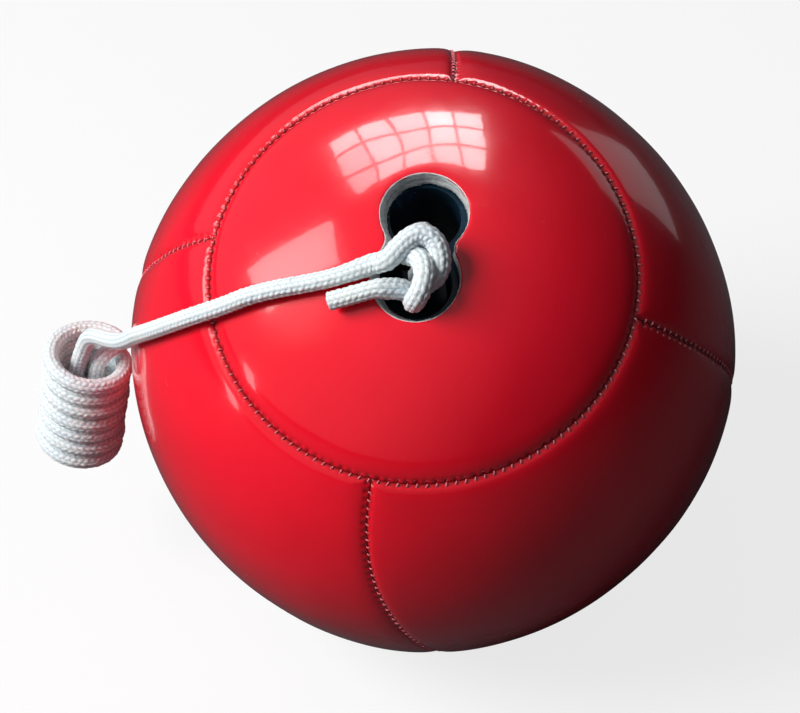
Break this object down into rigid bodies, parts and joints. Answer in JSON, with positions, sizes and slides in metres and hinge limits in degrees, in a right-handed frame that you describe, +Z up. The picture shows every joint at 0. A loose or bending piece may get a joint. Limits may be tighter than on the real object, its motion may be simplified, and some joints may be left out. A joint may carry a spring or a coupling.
{
  "type": "medicine ball",
  "caption": "Round sewn medicine ball in glossy red vinyl, with a two-lobed rope port on top and a knotted white braided rope wound into a hanging hank.",
  "frame": {"origin": "middle of the small flat the ball rests on", "axes": "+Z up from the floor, -Y towards the side the rope port leans to, -X towards the hanging hank of rope"},
  "size_m": [0.3341, 0.28, 0.2772],
  "materials": {
    "cover_vinyl": "high gloss calendered vinyl sheet",
    "seam_thread": "waxed sewing thread",
    "foam": "soft closed-cell foam",
    "port_felt": "cut felt edge",
    "cup_plastic": "moulded gloss",
    "bar_steel": "drawn bar",
    "filling": "packed textile fibre",
    "ballast_cloth": "plain woven cotton",
    "ballast_grain": "loose grain",
    "rope_braid": "solid braided polyester"
  },
  "bodies": {
    "ball": {"cover_cap_top": "cover_vinyl", "cover_cap_bottom": "cover_vinyl", "cover_side_panel_front_left": "cover_vinyl", "cover_side_panel_front_right": "cover_vinyl", "cover_side_panel_back_left": "cover_vinyl", "cover_side_panel_back_right": "cover_vinyl", "stitching_top_seam": "seam_thread", "stitching_bottom_seam": "seam_thread", "stitching_side_seam_front": "seam_thread", "stitching_side_seam_left": "seam_thread", "stitching_side_seam_back": "seam_thread", "stitching_side_seam_right": "seam_thread", "padding_upper_shell": "foam", "padding_lower_shell": "foam", "padding_port_ring": "port_felt", "rope_port_cup": "cup_plastic", "anchor_bar": "bar_steel", "anchor_bar_washers": "bar_steel", "fibre_filling": "filling", "ballast_bag": "ballast_cloth", "ballast_sand": "ballast_grain"},
    "rope_loop": {"rope_anchor_loop": "rope_braid"},
    "rope_knot": {"rope_knot": "rope_braid", "rope_tail": "rope_braid"},
    "rope_lead_inner": {"rope_lead_inner": "rope_braid"},
    "rope_lead_outer": {"rope_lead_outer": "rope_braid"},
    "rope_drop": {"rope_drop": "rope_braid"},
    "rope_hank": {"rope_hank_core": "rope_braid", "rope_hank_wraps": "rope_braid", "rope_free_end": "rope_braid"}
  },
  "joints": [
    {"name": "loop_swing", "type": "hinge", "parent": "ball", "child": "rope_loop", "pos_m": [0.00012, -0.05652, 0.23906], "axis": [0.9983, -0.0499, -0.0288], "range_deg": [-12, 0]},
    {"name": "knot_swivel", "type": "hinge", "parent": "rope_loop", "child": "rope_knot", "pos_m": [0, -0.065, 0.24975], "axis": [0, 0.5, -0.866], "range_deg": [-12, 24]},
    {"name": "lead_lift", "type": "hinge", "parent": "rope_knot", "child": "rope_lead_inner", "pos_m": [-0.0175, -0.0784, 0.25747], "axis": [-0.3655, 0.8032, 0.4703], "range_deg": [0, 70]},
    {"name": "lead_unbend", "type": "hinge", "parent": "rope_lead_inner", "child": "rope_lead_outer", "pos_m": [-0.082, -0.0779, 0.22727], "axis": [-0.1742, 0.8178, 0.5485], "range_deg": [0, 45]},
    {"name": "drop_unbend", "type": "hinge", "parent": "rope_lead_outer", "child": "rope_drop", "pos_m": [-0.1325, -0.0446, 0.17477], "axis": [-0.0508, 0.7276, 0.6841], "range_deg": [0, 50]},
    {"name": "hank_swing", "type": "hinge", "parent": "rope_drop", "child": "rope_hank", "pos_m": [-0.1616, -0.0086, 0.14017], "axis": [0, 1, 0], "range_deg": [0, 55]}
  ]
}
